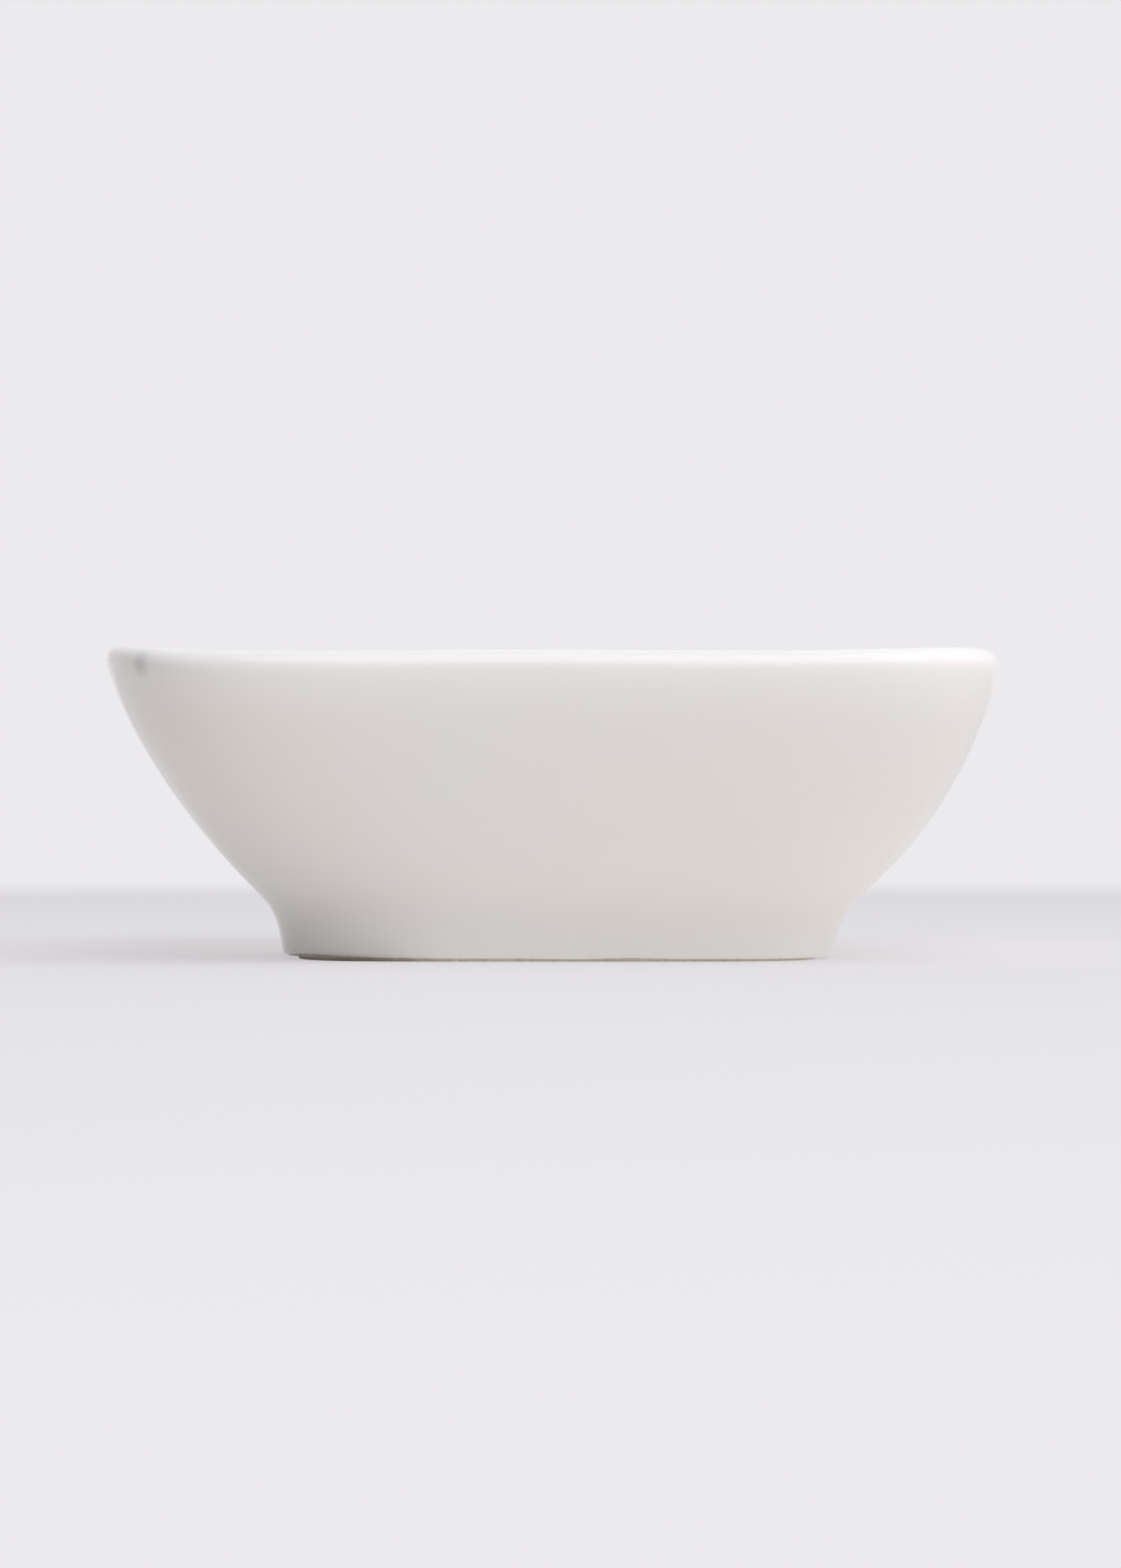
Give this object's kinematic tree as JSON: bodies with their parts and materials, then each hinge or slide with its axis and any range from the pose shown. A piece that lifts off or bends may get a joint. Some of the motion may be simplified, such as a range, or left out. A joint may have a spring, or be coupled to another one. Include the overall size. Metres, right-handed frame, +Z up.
{
  "type": "square dish",
  "caption": "Small soft-square porcelain dish with a flared wall, rounded lip and short bare foot ring, for sauce, dips or condiments.",
  "frame": {"origin": "middle of the foot, on the surface that the dish stands on", "axes": "+Z up along the dish's middle axis, -Y towards the front side, +X to the right side"},
  "size_m": [0.08, 0.08, 0.028],
  "materials": {
    "bare_porcelain": "unglazed fired porcelain, matt and very fine grained",
    "white_glaze": "glossy warm white glaze",
    "white_glaze_below": "glossy warm white glaze, a little duller under the foot"
  },
  "bodies": {
    "root": {"porcelain_body": "bare_porcelain", "glaze_coat": "white_glaze", "foot_well_glaze": "white_glaze_below"}
  },
  "joints": []
}
